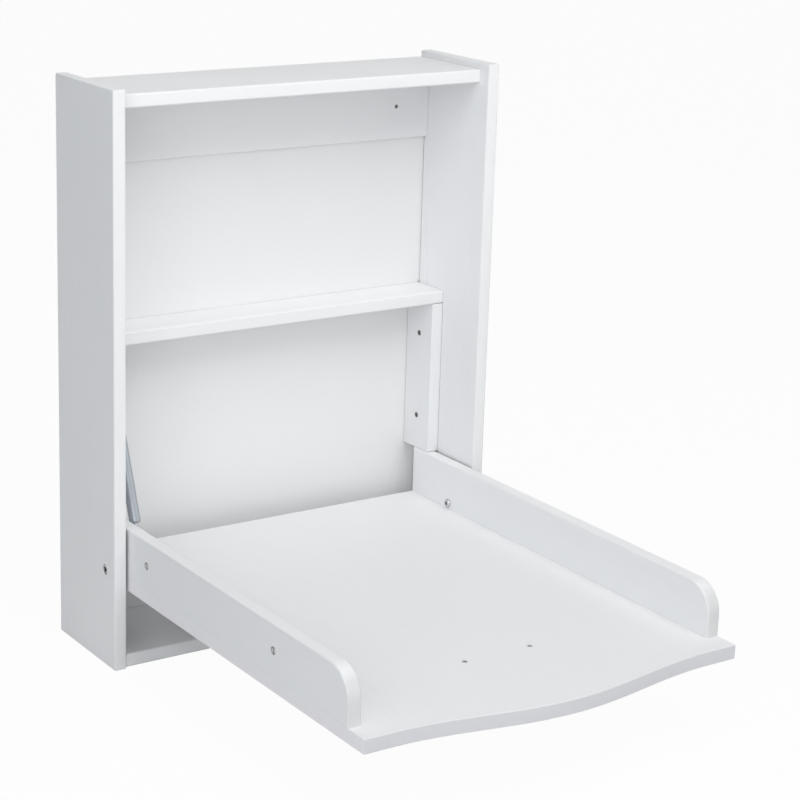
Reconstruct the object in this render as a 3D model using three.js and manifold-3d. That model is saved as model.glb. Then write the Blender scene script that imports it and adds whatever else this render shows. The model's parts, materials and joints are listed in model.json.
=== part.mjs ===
// Wall-hung changing station. A shallow board cabinet with one shelf hangs on the wall, and a changing
// tray with two side rails folds down out of it on two pivots, helped by a gas strut on the left.
// Millimetres. X runs to the right, Y towards the wall, Z up. The wall is the plane Y = 0, and the
// origin is the middle of the bottom panel's rear edge.

import * as THREE from 'three';
import { mergeVertices } from 'three/addons/utils/BufferGeometryUtils.js';
import Module from 'manifold-3d';

const wasm = await Module();
wasm.setup();

// Boards and clearances
const boardThickness = 18;
const edgeRadius = 2.5;
const trayEdgeRadius = 1;
const edgeSegments = 2;
const fitGap = 0.3;
const closingGap = 1;
const overcut = 1;
const roundSides = 12;
const tubeSides = 20;

// Cabinet
const cabinetWidth = 580;
const cabinetHeight = 755;
const cabinetDepth = 160;
const topPanelDrop = 9;
const bottomPanelSetback = 4;
const backPanelThickness = 3;
const backPanelInset = 12;
const backPanelTongue = 6;
const hangingRailHeight = 91;
const hangingRailProud = 8;
const wallHoleDiameter = 5.5;
const wallHoleInset = 54;
const shelfTopHeight = 426;

// Tray
const railGap = 3;
const railHeight = 66;
const railFootEase = 0.8;
const railCornerRadius = 38;
const trayTopMargin = 18;
const trayLip = 32;
const traySweepGap = 12;
const trayCornerRadius = 2;
const waveDepth = 29;
const waveShoulder = 37;
const waveSteps = 24;

// Pivots
const pivotHeight = 132;
const sleeveDiameter = 8;
const sleeveHeadDiameter = 13.5;
const sleeveHeadLength = 6;
const sleeveSink = 0.6;
const bushWall = 1.2;
const bushFlangeDiameter = 20;
const pivotWeb = 2.5;
const pivotScrewDiameter = 5;
const pivotScrewBite = 3;
const pivotScrewHeadDiameter = 12;
const pivotScrewHeadHeight = 2.6;
const pivotScrewRim = 1.2;
const pivotScrewCrownDiameter = 8.6;
const hexKeySize = 5;
const hexKeyDepth = 1.8;

// Cabinet fasteners
const battenScrewInset = 48;
const battenScrewDiameter = 4;
const battenScrewHeadDiameter = 8;
const battenScrewTipCover = 8;
const camDiameter = 15;
const camDepth = 12.5;
const camInset = 34;
const camBoltDiameter = 6;
const camBoltBite = 11;
const dowelDiameter = 8;
const dowelCover = 6;
const panelDowelInset = 30;
const railDowelInset = 17.5;

// Tray fasteners
const railBoltRearInset = 164;
const railBoltFrontInset = 160;
const railBoltDiameter = 6;
const railBoltHeadDiameter = 13;
const railBoltHeadHeight = 4;
const railBoltTip = 4;
const barrelNutDiameter = 10;
const barrelNutSink = 0.6;
const barrelNutCover = 4.4;
const slotWidth = 1.6;
const slotDepth = 1.6;

// Handle under the tray, which is the front of the folded unit
const handleInset = 120.5;
const handleSpacing = 96;
const handleDiameter = 10;
const handleStandoff = 28;
const handleBendRadius = 14;
const handleSteps = 28;
const handleScrewDiameter = 4;
const handleScrewHeadDiameter = 8;
const handleScrewTipCover = 3;
const crossRecessDepth = 1.4;
const crossRecessWidth = 1.2;
const crossRecessSpan = 4.4;

// Gas strut
const strutSideGap = 1.5;
const strutCrank = 16;
const upperStudLead = 5;
const upperStudDrop = 28;
const foldAngle = Math.PI / 2;
const ballDiameter = 8;
const studNeckDiameter = 5;
const studBaseDiameter = 12;
const studBaseHeight = 2.4;
const studBite = 11;
const socketDiameter = 12.6;
const socketWall = 1.8;
const socketReach = 22;
const socketShankDiameter = 9;
const nippleDiameter = 5;
const nippleLength = 8;
const tubeDiameter = 15;
const tubeWall = 1;
const tubeRim = 1.2;
const tubeHeadLength = 10;
const rodDiameter = 6;
const rodSlack = 0.9;
const rodShowing = 19;
const guideLength = 12;
const guideSink = 0.8;
const pistonLength = 10;
const pistonEndRoom = 70;

// Places worked out from the driving dimensions
const halfWidth = cabinetWidth / 2;
const sideInnerX = halfWidth - boardThickness;
const battenInnerX = sideInnerX - boardThickness;
const railOuterX = sideInnerX - railGap;
const railInnerX = railOuterX - boardThickness;
const railMiddleX = railOuterX - boardThickness / 2;
const frontY = -cabinetDepth;
const backFaceY = -(backPanelInset + backPanelThickness);
const bushDiameter = sleeveDiameter + 2 * (fitGap + bushWall);
const pivotAboveBoard = bushDiameter / 2 + pivotWeb;
const pivotY = frontY + boardThickness + pivotAboveBoard;
const railRise = railHeight - pivotAboveBoard;
const railReach = cabinetHeight - trayTopMargin - pivotHeight - waveDepth - trayLip;
const trayReach = railReach + trayLip;
const trayRear = Math.sqrt((backFaceY - pivotY - traySweepGap) ** 2 - railRise ** 2);
const waveHalfWidth = railOuterX - trayCornerRadius - waveShoulder;
const trayTopZ = pivotHeight - pivotAboveBoard;
const trayUnderZ = trayTopZ - boardThickness;
const trayRearY = pivotY + trayRear;
const railFrontY = pivotY - railReach;
const railTopZ = trayTopZ + railHeight;
const topPanelTopZ = cabinetHeight - topPanelDrop;
const topPanelUnderZ = topPanelTopZ - boardThickness;
const topPanelFrontY = frontY + boardThickness + closingGap;
const bottomPanelFrontY = frontY + bottomPanelSetback;
const shelfUnderZ = shelfTopHeight - boardThickness;
const shelfFrontY = pivotY + railRise + closingGap;
const shelfMiddleY = (shelfFrontY + backFaceY) / 2;
const battenLowZ = railTopZ + fitGap;
const hangingRailLowZ = topPanelUnderZ - hangingRailHeight;
const hangingRailFrontY = backFaceY - hangingRailProud;
const hangingRailBackY = hangingRailFrontY + boardThickness;
const hangingRailMiddleY = (hangingRailFrontY + hangingRailBackY) / 2;
const hangingRailMiddleZ = topPanelUnderZ - hangingRailHeight / 2;
const barrelNutZ = trayTopZ + railHeight / 2;
const handleY = pivotY - trayReach + handleInset;
const handleScrewBite = handleStandoff - handleBendRadius - handleScrewTipCover;
const wallHoleX = sideInnerX - wallHoleInset;
const dowelLength = 2 * (boardThickness - dowelCover);
const battenScrewLength = 2 * boardThickness - battenScrewTipCover;
const barrelNutLength = boardThickness - barrelNutSink - barrelNutCover;
const pivotScrewLength = boardThickness + railGap + pivotScrewBite;

const sides = [
  { name: 'left', sign: -1 },
  { name: 'right', sign: 1 },
];

// Materials
function paint(color, roughness, metalness) {
  return new THREE.MeshStandardMaterial({ color, roughness, metalness });
}

const lacquer = paint(0xf1f2f3, 0.42, 0);
const thinBoard = paint(0xeef0f0, 0.5, 0);
const zinc = paint(0xa9adb0, 0.35, 1);
const darkSteel = paint(0x5c6063, 0.45, 1);
const nylon = paint(0xdfe0dd, 0.55, 0);
const beech = paint(0xc9a77a, 0.7, 0);
const strutGrey = paint(0x8d959b, 0.4, 0.6);
const chrome = paint(0xd5d8da, 0.12, 1);
const satinNickel = paint(0xb9bcbd, 0.32, 1);

// Geometry helpers
function point(x, y, z) {
  return new THREE.Vector3(x, y, z);
}

function solidOf(geometry) {
  const bare = geometry.clone();
  bare.deleteAttribute('normal');
  bare.deleteAttribute('uv');
  const merged = mergeVertices(bare);
  const corners = merged.index.array;
  const triangles = [];
  for (let i = 0; i < corners.length; i += 3) {
    const [a, b, c] = corners.slice(i, i + 3);
    if (a !== b && b !== c && c !== a) triangles.push(a, b, c);
  }
  return new wasm.Manifold(new wasm.Mesh({
    numProp: 3,
    vertProperties: Float32Array.from(merged.attributes.position.array),
    triVerts: Uint32Array.from(triangles),
  }));
}

function geometryOf(solid) {
  const mesh = solid.getMesh();
  const geometry = new THREE.BufferGeometry();
  geometry.setAttribute('position', new THREE.BufferAttribute(mesh.vertProperties, 3));
  geometry.setIndex(new THREE.BufferAttribute(mesh.triVerts, 1));
  return geometry;
}

function cut(body, tools) {
  let solid = solidOf(body);
  for (const tool of tools) solid = solid.subtract(solidOf(tool));
  return geometryOf(solid);
}

function join(bodies) {
  let solid = solidOf(bodies[0]);
  for (const body of bodies.slice(1)) solid = solid.add(solidOf(body));
  return geometryOf(solid);
}

function block(low, high) {
  const size = high.clone().sub(low);
  const geometry = new THREE.BoxGeometry(Math.abs(size.x), Math.abs(size.y), Math.abs(size.z));
  const middle = low.clone().add(high).multiplyScalar(0.5);
  return geometry.translate(middle.x, middle.y, middle.z);
}

// Round bar between two points
function bar(diameter, start, end, sideCount = roundSides) {
  const along = end.clone().sub(start);
  const geometry = new THREE.CylinderGeometry(diameter / 2, diameter / 2, along.length(), sideCount);
  const turn = new THREE.Quaternion().setFromUnitVectors(point(0, 1, 0), along.clone().normalize());
  const middle = start.clone().add(end).multiplyScalar(0.5);
  return geometry.applyQuaternion(turn).translate(middle.x, middle.y, middle.z);
}

// Turned piece: profile pairs of radius and height, turned about the given direction from a base point
function turned(profile, base, direction, sideCount = roundSides) {
  const outline = profile.map(([radius, height]) => new THREE.Vector2(radius, height));
  const turn = new THREE.Quaternion().setFromUnitVectors(point(0, 1, 0), direction);
  const geometry = new THREE.LatheGeometry(outline, sideCount);
  return geometry.applyQuaternion(turn).translate(base.x, base.y, base.z);
}

// Board cut from an outline, with its edges eased all round; the outline's plane is at mid thickness
function easedBoard(outline, thickness, ease = edgeRadius) {
  const radius = Math.min(ease, thickness / 3);
  const geometry = new THREE.ExtrudeGeometry(outline, {
    depth: thickness - 2 * radius,
    bevelThickness: radius,
    bevelSize: radius,
    bevelOffset: -radius,
    bevelSegments: edgeSegments,
    curveSegments: roundSides / 2,
  });
  return geometry.translate(0, 0, radius - thickness / 2);
}

// Turns an outline drawn in (Y, Z) and thickened along the third axis so that the thickness lies along X
function standUp(geometry) {
  const turn = new THREE.Matrix4().makeBasis(point(0, 1, 0), point(0, 0, 1), point(1, 0, 0));
  return geometry.applyMatrix4(turn);
}

function rectangle(lowU, lowV, highU, highV) {
  const outline = new THREE.Shape();
  outline.moveTo(lowU, lowV);
  outline.lineTo(highU, lowV);
  outline.lineTo(highU, highV);
  outline.lineTo(lowU, highV);
  outline.closePath();
  return outline;
}

// Board that runs from side to side, with square ends and its two front edges eased
function crossBoard(section) {
  const { front, back, low, high } = section;
  const radius = Math.min(edgeRadius, (high - low) / 3);
  const outline = new THREE.Shape();
  outline.moveTo(back, low);
  outline.lineTo(back, high);
  outline.lineTo(front + radius, high);
  outline.absarc(front + radius, high - radius, radius, Math.PI / 2, Math.PI, false);
  outline.lineTo(front, low + radius);
  outline.absarc(front + radius, low + radius, radius, Math.PI, 1.5 * Math.PI, false);
  outline.closePath();
  const width = 2 * sideInnerX;
  const geometry = new THREE.ExtrudeGeometry(outline, {
    depth: width,
    bevelEnabled: false,
    curveSegments: edgeSegments,
  });
  return standUp(geometry.translate(0, 0, -width / 2));
}

const root = new THREE.Group();
root.position.z = -boardThickness / 2;

function piece(name, geometry, material, parent = root) {
  const mesh = new THREE.Mesh(geometry, material);
  mesh.name = name;
  parent.add(mesh);
  return mesh;
}

// Hidden joints of the carcass: one cam fitting and one dowel at each end of the top and bottom panels
const jointedPanels = [
  { name: 'top', low: topPanelUnderZ, front: topPanelFrontY },
  { name: 'bottom', low: 0, front: bottomPanelFrontY },
];

function panelMiddle(panel) {
  return { y: panel.front / 2, z: panel.low + boardThickness / 2 };
}

function panelDowelY(panel) {
  return panel.front + panelDowelInset;
}

function dowelBetween(faceX, sign, y, z, growth) {
  const half = dowelLength / 2 + growth;
  const diameter = dowelDiameter + 2 * growth;
  return bar(diameter, point(sign * (faceX - half), y, z), point(sign * (faceX + half), y, z));
}

function camBolt(panel, sign, growth) {
  const { y, z } = panelMiddle(panel);
  const tip = sideInnerX - camInset - growth;
  const bite = sideInnerX + camBoltBite + growth;
  return bar(camBoltDiameter + 2 * growth, point(sign * tip, y, z), point(sign * bite, y, z));
}

function camDisc(panel, sign, growth) {
  const { y } = panelMiddle(panel);
  const x = sign * (sideInnerX - camInset);
  const mouth = panel.low - (growth > 0 ? overcut : 0);
  return bar(camDiameter + 2 * growth, point(x, y, mouth), point(x, y, panel.low + camDepth + growth));
}

function hangingRailDowels(sign, growth) {
  const heights = [hangingRailLowZ + railDowelInset, topPanelUnderZ - railDowelInset];
  return heights.map((z) => dowelBetween(sideInnerX, sign, hangingRailMiddleY, z, growth));
}

// Back panel grooves: the groove in every neighbour is the back panel grown by the fit gap
function backPanelBlock(growth) {
  const reach = sideInnerX + backPanelTongue - fitGap + growth;
  const low = boardThickness - backPanelTongue + fitGap - growth;
  const high = hangingRailLowZ + backPanelTongue - fitGap + growth;
  return block(
    point(-reach, backFaceY - growth, low),
    point(reach, -backPanelInset + growth, high),
  );
}

function wallHoles() {
  return sides.map(({ sign }) => bar(
    wallHoleDiameter,
    point(sign * wallHoleX, hangingRailFrontY - overcut, hangingRailMiddleZ),
    point(sign * wallHoleX, hangingRailBackY + overcut, hangingRailMiddleZ),
  ));
}

// Countersunk screw: shank and head in one turned profile, from the tip to the face it is driven into
function countersunkProfile(diameter, headDiameter, length, growth) {
  const shank = diameter / 2 + growth;
  const head = headDiameter / 2 + growth;
  const headHeight = (headDiameter - diameter) / 2;
  const mouth = growth > 0 ? overcut : 0;
  return [
    [0, -length - growth],
    [shank, -length - growth],
    [shank, -headHeight],
    [head, 0],
    [head, mouth],
    [0, mouth],
  ];
}

// Cross recess of a screw head, cut along the driving direction from the head's face
function crossRecess(face, direction) {
  const floor = face.clone().addScaledVector(direction, -crossRecessDepth);
  const roof = face.clone().addScaledVector(direction, overcut);
  const across = Math.abs(direction.x) > 0.5 ? point(0, 0, 1) : point(1, 0, 0);
  const along = direction.clone().cross(across);
  return [[across, along], [along, across]].map(([long, short]) => {
    const reach = long.clone().multiplyScalar(crossRecessSpan / 2);
    reach.addScaledVector(short, crossRecessWidth / 2);
    return block(floor.clone().sub(reach), roof.clone().add(reach));
  });
}

function hexSocket(face, direction, depth, clearDepth) {
  const start = face.clone().addScaledVector(direction, -depth);
  const end = face.clone().addScaledVector(direction, clearDepth);
  return bar(hexKeySize * 2 / Math.sqrt(3), start, end, 6);
}

// Pivot: a sleeve through the side panel carries the rail's bush, and a screw from inside closes it
function pivotPoint(x) {
  return point(x, pivotY, pivotHeight);
}

function pivotSleeveProfile(growth) {
  const head = sleeveHeadDiameter / 2 + growth;
  const body = sleeveDiameter / 2 + growth;
  const length = halfWidth - railInnerX + (growth > 0 ? overcut : 0);
  const lip = growth > 0 ? -overcut : sleeveSink;
  return [
    [0, lip],
    [head, lip],
    [head, sleeveHeadLength + growth],
    [body, sleeveHeadLength + growth],
    [body, length],
    [0, length],
  ];
}

function pivotSleeve(sign) {
  const inward = point(-sign, 0, 0);
  const outer = pivotPoint(sign * halfWidth);
  const body = turned(pivotSleeveProfile(0), outer, inward, tubeSides);
  const threadStart = pivotPoint(sign * (railInnerX - overcut));
  const threadEnd = pivotPoint(sign * (railInnerX + pivotScrewLength + 2 * fitGap));
  const thread = bar(pivotScrewDiameter + 2 * fitGap, threadStart, threadEnd);
  const key = hexSocket(outer, inward.clone().negate(), hexKeyDepth + sleeveSink, overcut);
  return cut(body, [thread, key]);
}

function pivotScrew(sign) {
  const inward = point(-sign, 0, 0);
  const seat = pivotPoint(sign * (railInnerX - fitGap));
  const shank = pivotScrewDiameter / 2;
  const head = pivotScrewHeadDiameter / 2;
  const body = turned([
    [0, -pivotScrewLength],
    [shank, -pivotScrewLength],
    [shank, 0],
    [head, 0],
    [head, pivotScrewRim],
    [pivotScrewCrownDiameter / 2, pivotScrewHeadHeight],
    [0, pivotScrewHeadHeight],
  ], seat, inward, tubeSides);
  const face = seat.clone().addScaledVector(inward, pivotScrewHeadHeight);
  return cut(body, [hexSocket(face, inward, hexKeyDepth, overcut)]);
}

function pivotBush(sign) {
  const outward = point(sign, 0, 0);
  const bore = sleeveDiameter / 2 + fitGap;
  const barrel = bushDiameter / 2;
  const flange = bushFlangeDiameter / 2;
  return turned([
    [bore, fitGap],
    [barrel, fitGap],
    [barrel, boardThickness],
    [flange, boardThickness],
    [flange, boardThickness + railGap - fitGap],
    [bore, boardThickness + railGap - fitGap],
    [bore, fitGap],
  ], pivotPoint(sign * railInnerX), outward, tubeSides);
}

// Cabinet boards
function sidePanel(sign) {
  const outline = rectangle(frontY, 0, 0, cabinetHeight);
  const middleX = sign * (halfWidth - boardThickness / 2);
  const body = standUp(easedBoard(outline, boardThickness)).translate(middleX, 0, 0);
  const tools = [backPanelBlock(fitGap)];
  tools.push(turned(pivotSleeveProfile(fitGap), pivotPoint(sign * halfWidth), point(-sign, 0, 0)));
  for (const panel of jointedPanels) {
    const { z } = panelMiddle(panel);
    tools.push(camBolt(panel, sign, fitGap));
    tools.push(dowelBetween(sideInnerX, sign, panelDowelY(panel), z, fitGap));
  }
  tools.push(...hangingRailDowels(sign, fitGap));
  for (const z of battenScrewHeights()) tools.push(battenScrewBody(sign, z, fitGap));
  return cut(body, tools);
}

function jointedPanel(panel) {
  const section = { front: panel.front, back: 0, low: panel.low, high: panel.low + boardThickness };
  const tools = [backPanelBlock(fitGap)];
  for (const { sign } of sides) {
    tools.push(camBolt(panel, sign, fitGap));
    tools.push(camDisc(panel, sign, fitGap));
    tools.push(dowelBetween(sideInnerX, sign, panelDowelY(panel), panelMiddle(panel).z, fitGap));
  }
  return cut(crossBoard(section), tools);
}

function hangingRail() {
  const section = {
    front: hangingRailFrontY,
    back: hangingRailBackY,
    low: hangingRailLowZ,
    high: topPanelUnderZ,
  };
  const tools = [backPanelBlock(fitGap), ...wallHoles()];
  for (const { sign } of sides) tools.push(...hangingRailDowels(sign, fitGap));
  return cut(crossBoard(section), tools);
}

function shelfDowel(sign, growth) {
  const x = sign * (sideInnerX - boardThickness / 2);
  const half = dowelLength / 2 + growth;
  return bar(
    dowelDiameter + 2 * growth,
    point(x, shelfMiddleY, shelfUnderZ - half),
    point(x, shelfMiddleY, shelfUnderZ + half),
  );
}

function middleShelf() {
  const section = { front: shelfFrontY, back: backFaceY, low: shelfUnderZ, high: shelfTopHeight };
  return cut(crossBoard(section), sides.map(({ sign }) => shelfDowel(sign, fitGap)));
}

function battenScrewHeights() {
  return [battenLowZ + battenScrewInset, shelfUnderZ - battenScrewInset];
}

function battenScrewBody(sign, z, growth) {
  const profile = countersunkProfile(battenScrewDiameter, battenScrewHeadDiameter, battenScrewLength, growth);
  return turned(profile, point(sign * battenInnerX, shelfMiddleY, z), point(-sign, 0, 0));
}

function batten(sign) {
  const body = block(
    point(sign * battenInnerX, shelfFrontY, battenLowZ),
    point(sign * sideInnerX, backFaceY, shelfUnderZ),
  );
  const tools = battenScrewHeights().map((z) => battenScrewBody(sign, z, fitGap));
  tools.push(shelfDowel(sign, fitGap));
  if (sign < 0) tools.push(studHole(upperStudFace()));
  return cut(body, tools);
}

// Tray boards
function railBoltYs() {
  return [trayRearY - railBoltRearInset, railFrontY + railBoltFrontInset];
}

function frontEdgeY(x) {
  const swell = Math.abs(x) < waveHalfWidth ? 1 + Math.cos(Math.PI * x / waveHalfWidth) : 0;
  return pivotY - trayReach - waveDepth * swell / 2;
}

function trayOutline() {
  const radius = trayCornerRadius;
  const cornerY = pivotY - trayReach + radius;
  const cornerX = railOuterX - radius;
  const outline = new THREE.Shape();
  outline.moveTo(-railOuterX, trayRearY);
  outline.lineTo(-railOuterX, cornerY);
  outline.absarc(-cornerX, cornerY, radius, Math.PI, 1.5 * Math.PI, false);
  for (let i = 0; i <= waveSteps; i += 1) {
    const x = waveHalfWidth * (2 * i / waveSteps - 1);
    outline.lineTo(x, frontEdgeY(x));
  }
  outline.absarc(cornerX, cornerY, radius, 1.5 * Math.PI, 2 * Math.PI, false);
  outline.lineTo(railOuterX, trayRearY);
  outline.closePath();
  return outline;
}

function railBolt(sign, y, growth) {
  const shank = railBoltDiameter / 2 + growth;
  const head = railBoltHeadDiameter / 2 + growth;
  const foot = growth > 0 ? -overcut : 0;
  const tip = barrelNutZ - trayUnderZ + railBoltTip + growth;
  return turned([
    [0, foot],
    [head, foot],
    [head, railBoltHeadHeight + growth],
    [shank, railBoltHeadHeight + growth],
    [shank, tip],
    [0, tip],
  ], point(sign * railMiddleX, y, trayUnderZ), point(0, 0, 1));
}

function railBoltWithKey(sign, y) {
  const face = point(sign * railMiddleX, y, trayUnderZ);
  return cut(railBolt(sign, y, 0), [hexSocket(face, point(0, 0, -1), hexKeyDepth, overcut)]);
}

function barrelNutBody(sign, y, growth) {
  const mouth = growth > 0 ? railOuterX + overcut : railOuterX - barrelNutSink;
  const end = railOuterX - barrelNutSink - barrelNutLength - growth;
  return bar(
    barrelNutDiameter + 2 * growth,
    point(sign * mouth, y, barrelNutZ),
    point(sign * end, y, barrelNutZ),
    tubeSides,
  );
}

function barrelNut(sign, y) {
  const face = railOuterX - barrelNutSink;
  const slot = block(
    point(sign * (face - slotDepth), y - slotWidth / 2, barrelNutZ - barrelNutDiameter),
    point(sign * (face + overcut), y + slotWidth / 2, barrelNutZ + barrelNutDiameter),
  );
  return cut(barrelNutBody(sign, y, 0), [slot, railBolt(sign, y, fitGap)]);
}

function handleScrewBody(sign, growth) {
  const length = boardThickness + handleScrewBite;
  const profile = countersunkProfile(handleScrewDiameter, handleScrewHeadDiameter, length, growth);
  return turned(profile, point(sign * handleSpacing / 2, handleY, trayTopZ), point(0, 0, 1));
}

function trayBoard() {
  const slab = easedBoard(trayOutline(), boardThickness, trayEdgeRadius);
  const body = slab.translate(0, 0, trayTopZ - boardThickness / 2);
  const seats = sides.map(({ sign }) => block(
    point(sign * railInnerX, railFrontY, trayTopZ - boardThickness / 2),
    point(sign * railOuterX, trayRearY, trayTopZ),
  ));
  const tools = sides.map(({ sign }) => handleScrewBody(sign, fitGap));
  for (const { sign } of sides) {
    for (const y of railBoltYs()) tools.push(railBolt(sign, y, fitGap));
  }
  return cut(join([body, ...seats]), tools);
}

function railOutline() {
  const radius = Math.min(railCornerRadius, railHeight - edgeRadius);
  const footZ = trayTopZ + railFootEase - edgeRadius;
  const outline = new THREE.Shape();
  outline.moveTo(trayRearY, footZ);
  outline.lineTo(trayRearY, railTopZ);
  outline.lineTo(railFrontY + radius, railTopZ);
  outline.absarc(railFrontY + radius, railTopZ - radius, radius, Math.PI / 2, Math.PI, false);
  outline.lineTo(railFrontY, footZ);
  outline.closePath();
  return outline;
}

function rail(sign) {
  const body = standUp(easedBoard(railOutline(), boardThickness)).translate(sign * railMiddleX, 0, 0);
  const foot = block(
    point(-halfWidth, railFrontY - overcut, trayUnderZ),
    point(halfWidth, trayRearY + overcut, trayTopZ),
  );
  const pivotHole = bar(
    bushDiameter + 2 * fitGap,
    pivotPoint(sign * (railInnerX - overcut)),
    pivotPoint(sign * (railOuterX + overcut)),
    tubeSides,
  );
  const tools = [foot, pivotHole];
  for (const y of railBoltYs()) tools.push(railBolt(sign, y, fitGap), barrelNutBody(sign, y, fitGap));
  if (sign < 0) tools.push(studHole(lowerStudFace()));
  return cut(body, tools);
}

// Handle
function handle() {
  const half = handleSpacing / 2;
  const barZ = trayUnderZ - handleStandoff;
  const bend = handleBendRadius;
  const path = new THREE.CurvePath();
  const knee = (sign) => [
    point(sign * half, handleY, trayUnderZ),
    point(sign * half, handleY, barZ + bend),
    point(sign * half, handleY, barZ),
    point(sign * (half - bend), handleY, barZ),
  ];
  const [leftFoot, leftLow, leftCorner, leftBar] = knee(-1);
  const [rightFoot, rightLow, rightCorner, rightBar] = knee(1);
  path.add(new THREE.LineCurve3(leftFoot, leftLow));
  path.add(new THREE.QuadraticBezierCurve3(leftLow, leftCorner, leftBar));
  path.add(new THREE.LineCurve3(leftBar, rightBar));
  path.add(new THREE.QuadraticBezierCurve3(rightBar, rightCorner, rightLow));
  path.add(new THREE.LineCurve3(rightLow, rightFoot));
  const section = new THREE.Shape();
  section.absarc(0, 0, handleDiameter / 2, 0, 2 * Math.PI, false);
  const body = new THREE.ExtrudeGeometry(section, {
    steps: handleSteps,
    extrudePath: path,
    curveSegments: roundSides / 2,
  });
  return cut(body, sides.map(({ sign }) => handleScrewBody(sign, fitGap)));
}

function handleScrew(sign) {
  const face = point(sign * handleSpacing / 2, handleY, trayTopZ);
  return cut(handleScrewBody(sign, 0), crossRecess(face, point(0, 0, 1)));
}

function battenScrew(sign, z) {
  const face = point(sign * battenInnerX, shelfMiddleY, z);
  return cut(battenScrewBody(sign, z, 0), crossRecess(face, point(-sign, 0, 0)));
}

// Gas strut. It passes over the pivot half way through the fold, so it presses the tray open at one
// end of the fold and shut at the other: the lower stud starts half the fold angle ahead of the line
// from the pivot to the upper stud.
const strutX = tubeDiameter / 2 + strutSideGap - railInnerX;
const upperBall = point(strutX, shelfMiddleY - upperStudLead, shelfUnderZ - upperStudDrop);
const centreLineLean = Math.atan2(upperBall.y - pivotY, upperBall.z - pivotHeight);
const crankLean = centreLineLean - foldAngle / 2;
const lowerBall = point(
  strutX,
  pivotY + strutCrank * Math.sin(crankLean),
  pivotHeight + strutCrank * Math.cos(crankLean),
);
const strutLean = Math.atan2(upperBall.y - lowerBall.y, upperBall.z - lowerBall.z);
const strutLength = upperBall.distanceTo(lowerBall);
const boreRadius = tubeDiameter / 2 - tubeWall;
const tubeTop = -socketReach - fitGap;
const tubeMouth = socketReach + rodShowing - strutLength;
const rodFoot = socketReach - nippleLength - strutLength;
const pistonTop = tubeTop - tubeHeadLength - pistonEndRoom;

const inwardX = point(1, 0, 0);

function upperStudFace() {
  return point(-battenInnerX, upperBall.y, upperBall.z);
}

function lowerStudFace() {
  return point(-railInnerX, lowerBall.y, lowerBall.z);
}

function studHole(face) {
  const depth = face.clone().addScaledVector(inwardX, -studBite - fitGap);
  const mouth = face.clone().addScaledVector(inwardX, overcut);
  return bar(studNeckDiameter + 2 * fitGap, depth, mouth);
}

function ballStud(face) {
  const neck = studNeckDiameter / 2;
  const ball = ballDiameter / 2;
  const ballHeight = strutX - face.x;
  const base = studBaseDiameter / 2;
  const profile = [
    [0, -studBite],
    [neck, -studBite],
    [neck, 0],
    [base, 0],
    [base, studBaseHeight],
    [neck, studBaseHeight],
  ];
  const start = -Math.acos(neck / ball);
  for (let i = 0; i <= roundSides / 2; i += 1) {
    const angle = start + (Math.PI / 2 - start) * i * 2 / roundSides;
    profile.push([Math.max(ball * Math.cos(angle), 0), ballHeight + ball * Math.sin(angle)]);
  }
  profile[profile.length - 1][0] = 0;
  return turned(profile, face, inwardX);
}

// Ball socket on the strut's axis: a cup across the axis and a shank that takes the tube or the rod
function ballSocket(ballZ, shankSign, boreDiameter) {
  const ballRoom = ballDiameter / 2 + fitGap;
  const cup = bar(
    socketDiameter,
    point(-ballRoom, 0, ballZ),
    point(ballRoom + socketWall, 0, ballZ),
    tubeSides,
  );
  const shankEnd = ballZ + shankSign * socketReach;
  const shank = bar(socketShankDiameter, point(0, 0, ballZ), point(0, 0, shankEnd), tubeSides);
  const room = bar(2 * ballRoom, point(-socketDiameter, 0, ballZ), point(ballRoom, 0, ballZ), tubeSides);
  const bore = bar(
    boreDiameter + 2 * fitGap,
    point(0, 0, shankEnd - shankSign * (nippleLength + fitGap)),
    point(0, 0, shankEnd + shankSign * overcut),
  );
  return cut(join([cup, shank]), [room, bore]);
}

function strutTube() {
  const outer = tubeDiameter / 2;
  const nipple = nippleDiameter / 2;
  const ceiling = tubeTop - tubeHeadLength;
  return turned([
    [0, ceiling],
    [boreRadius, ceiling],
    [boreRadius, tubeMouth],
    [outer - tubeRim / 2, tubeMouth],
    [outer, tubeMouth + tubeRim],
    [outer, tubeTop - tubeRim],
    [outer - tubeRim, tubeTop],
    [nipple, tubeTop],
    [nipple, tubeTop + nippleLength],
    [0, tubeTop + nippleLength],
  ], point(0, 0, 0), point(0, 0, 1), tubeSides);
}

function strutRodGuide() {
  const low = tubeMouth + guideSink;
  const outer = boreRadius - fitGap;
  const inner = rodDiameter / 2 + rodSlack;
  return turned([
    [inner, low],
    [outer, low],
    [outer, low + guideLength],
    [inner, low + guideLength],
    [inner, low],
  ], point(0, 0, 0), point(0, 0, 1), tubeSides);
}

function strutPiston() {
  const seat = bar(
    rodDiameter + 2 * fitGap,
    point(0, 0, pistonTop - pistonLength - overcut),
    point(0, 0, pistonTop - pistonLength / 2),
  );
  const body = bar(
    2 * (boreRadius - rodSlack),
    point(0, 0, pistonTop - pistonLength),
    point(0, 0, pistonTop),
    tubeSides,
  );
  return cut(body, [seat]);
}

function strutRod() {
  const top = pistonTop - pistonLength / 2 - fitGap;
  return bar(rodDiameter, point(0, 0, rodFoot), point(0, 0, top), tubeSides);
}

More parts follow.
